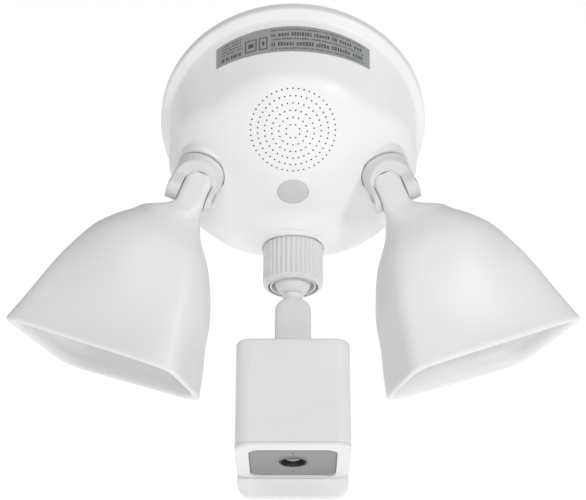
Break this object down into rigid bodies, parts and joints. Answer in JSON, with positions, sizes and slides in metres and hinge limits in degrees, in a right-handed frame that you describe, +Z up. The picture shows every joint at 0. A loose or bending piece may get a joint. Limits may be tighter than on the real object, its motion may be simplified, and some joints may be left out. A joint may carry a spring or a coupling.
{
  "type": "floodlight security camera",
  "caption": "Wall-mounted floodlight with bell-shaped lamp heads on swivel knuckles and a box camera on a ball joint below a round canopy.",
  "frame": {"origin": "centre of the canopy's back face, on the wall", "axes": "+Z up, +Y into the wall, +X to the right of a person who faces the fixture"},
  "size_m": [0.331, 0.1841, 0.2409],
  "materials": {
    "canopy_white": "satin",
    "joint_white": "satin",
    "camera_white": "satin",
    "lamp_white": "satin",
    "label_silver": "printed film",
    "window_grey": "matte",
    "seal_rubber": "matte",
    "zinc_steel": "zinc plated",
    "black_plastic": "matte",
    "board_green": "solder mask",
    "panel_grey": "satin",
    "lens_glass": "polished",
    "cast_aluminium": "cast",
    "led_yellow": "matte",
    "reflector_silver": "polished",
    "diffuser_white": "frosted"
  },
  "bodies": {
    "canopy": {"back_plate": "canopy_white", "wall_gasket": "seal_rubber", "canopy_cover": "canopy_white", "cover_screws": "zinc_steel", "spec_label": "label_silver", "sensor_window": "window_grey", "speaker": "black_plastic", "speaker_gasket": "seal_rubber", "speaker_screws": "zinc_steel", "main_board": "board_green", "board_screws": "zinc_steel", "power_module": "black_plastic", "ball_socket": "joint_white", "socket_nut": "zinc_steel"},
    "collar": {"lock_collar": "joint_white"},
    "liner": {"ball_liner": "seal_rubber"},
    "ball": {"ball": "joint_white"},
    "camera": {"camera_stem": "joint_white", "stem_nut": "zinc_steel", "camera_housing": "camera_white", "camera_gasket": "seal_rubber", "camera_front": "camera_white", "face_panel": "panel_grey", "lens_barrel": "black_plastic", "lens_glass": "lens_glass", "image_board": "board_green", "camera_screws": "zinc_steel", "camera_chin": "camera_white"},
    "knuckle_left": {"yoke_left": "joint_white", "yoke_seal_left": "seal_rubber", "swivel_nut_left": "zinc_steel", "tilt_bolt_left": "zinc_steel", "tilt_nut_left": "zinc_steel"},
    "lamp_left": {"lamp_shell_left": "lamp_white", "heat_sink_left": "cast_aluminium", "led_board_left": "led_yellow", "reflector_left": "reflector_silver", "lamp_gasket_left": "seal_rubber", "lamp_lens_left": "diffuser_white", "lamp_screws_left": "zinc_steel"},
    "knuckle_right": {"yoke_right": "joint_white", "yoke_seal_right": "seal_rubber", "swivel_nut_right": "zinc_steel", "tilt_bolt_right": "zinc_steel", "tilt_nut_right": "zinc_steel"},
    "lamp_right": {"lamp_shell_right": "lamp_white", "heat_sink_right": "cast_aluminium", "led_board_right": "led_yellow", "reflector_right": "reflector_silver", "lamp_gasket_right": "seal_rubber", "lamp_lens_right": "diffuser_white", "lamp_screws_right": "zinc_steel"}
  },
  "joints": [
    {"name": "collar_turn", "type": "hinge", "parent": "canopy", "child": "collar", "pos_m": [0, -0.068, -0.0682], "axis": [0, -0.8788, -0.4772], "range_deg": [-180, 180]},
    {"name": "camera_pan", "type": "hinge", "parent": "canopy", "child": "liner", "pos_m": [0, -0.068, -0.0682], "axis": [0, -0.4772, 0.8788], "range_deg": [-10, 10]},
    {"name": "camera_tilt", "type": "hinge", "parent": "liner", "child": "ball", "pos_m": [0, -0.068, -0.0682], "axis": [1, 0, 0], "range_deg": [-15, 20]},
    {"name": "camera_roll", "type": "hinge", "parent": "ball", "child": "camera", "pos_m": [0, -0.068, -0.0682], "axis": [0, -0.8788, -0.4772], "range_deg": [-30, 30]},
    {"name": "swivel_left", "type": "hinge", "parent": "canopy", "child": "knuckle_left", "pos_m": [-0.0595, -0.0617, -0.0105], "axis": [-0.3085, -0.9221, -0.2334], "range_deg": [-60, 0]},
    {"name": "tilt_left", "type": "hinge", "parent": "knuckle_left", "child": "lamp_left", "pos_m": [-0.0595, -0.0617, -0.0105], "axis": [0.9267, -0.236, -0.2924], "range_deg": [-25, 25]},
    {"name": "swivel_right", "type": "hinge", "parent": "canopy", "child": "knuckle_right", "pos_m": [0.0595, -0.0617, -0.0105], "axis": [-0.3085, 0.9221, 0.2334], "range_deg": [-60, 0]},
    {"name": "tilt_right", "type": "hinge", "parent": "knuckle_right", "child": "lamp_right", "pos_m": [0.0595, -0.0617, -0.0105], "axis": [0.9267, 0.236, 0.2924], "range_deg": [-25, 25]}
  ]
}
